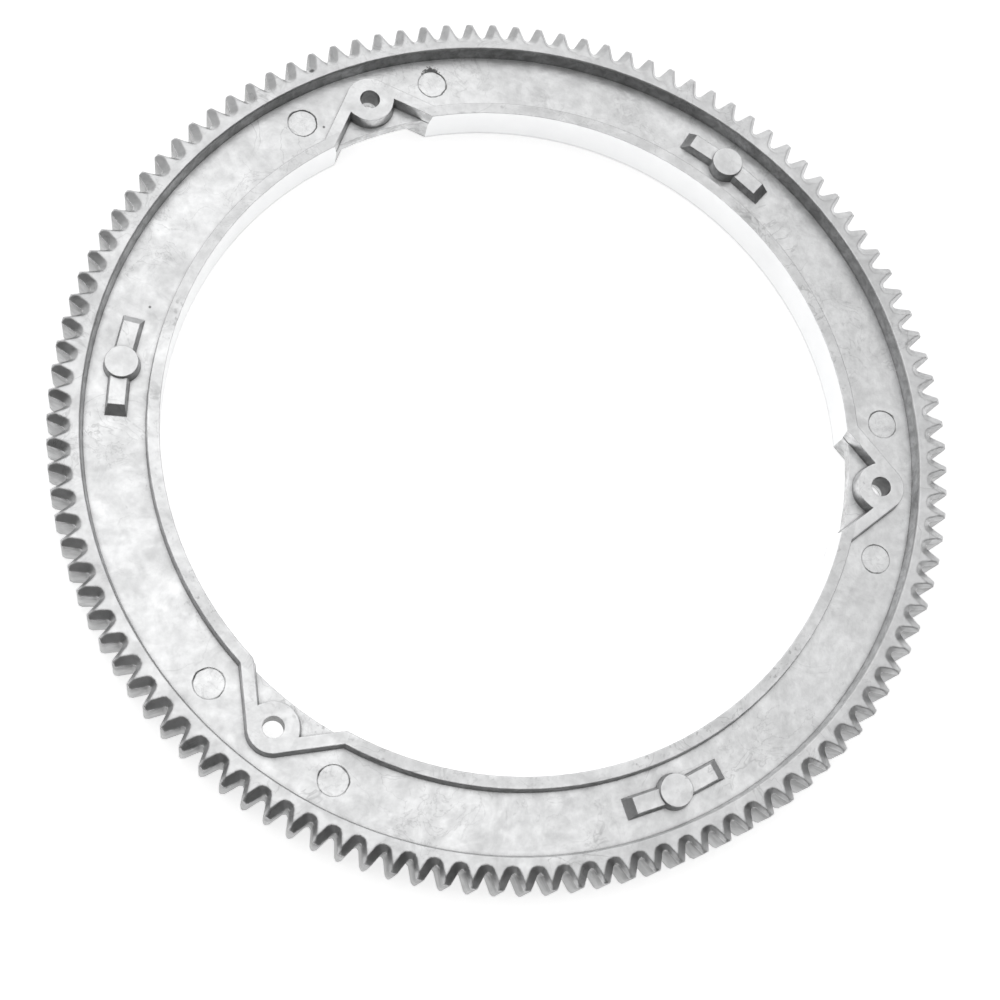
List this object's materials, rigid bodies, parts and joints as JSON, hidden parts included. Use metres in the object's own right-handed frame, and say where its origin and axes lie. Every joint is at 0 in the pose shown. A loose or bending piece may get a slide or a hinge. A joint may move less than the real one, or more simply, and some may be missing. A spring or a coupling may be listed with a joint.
{
  "type": "flywheel ring gear",
  "caption": "Cast aluminium ring gear with spur teeth outside, a one-sided lead-in bevel on every tooth, a sunk web, bolt bosses and a plain bore.",
  "frame": {"origin": "centre of the bore on the flat back face", "axes": "+Z along the axis of the ring, out of its front face; +X through the first bolt boss"},
  "size_m": [0.2434, 0.2434, 0.0127],
  "materials": {
    "cast_aluminium": "as cast, matte"
  },
  "bodies": {
    "root": {"ring_gear": "cast_aluminium"}
  },
  "joints": []
}
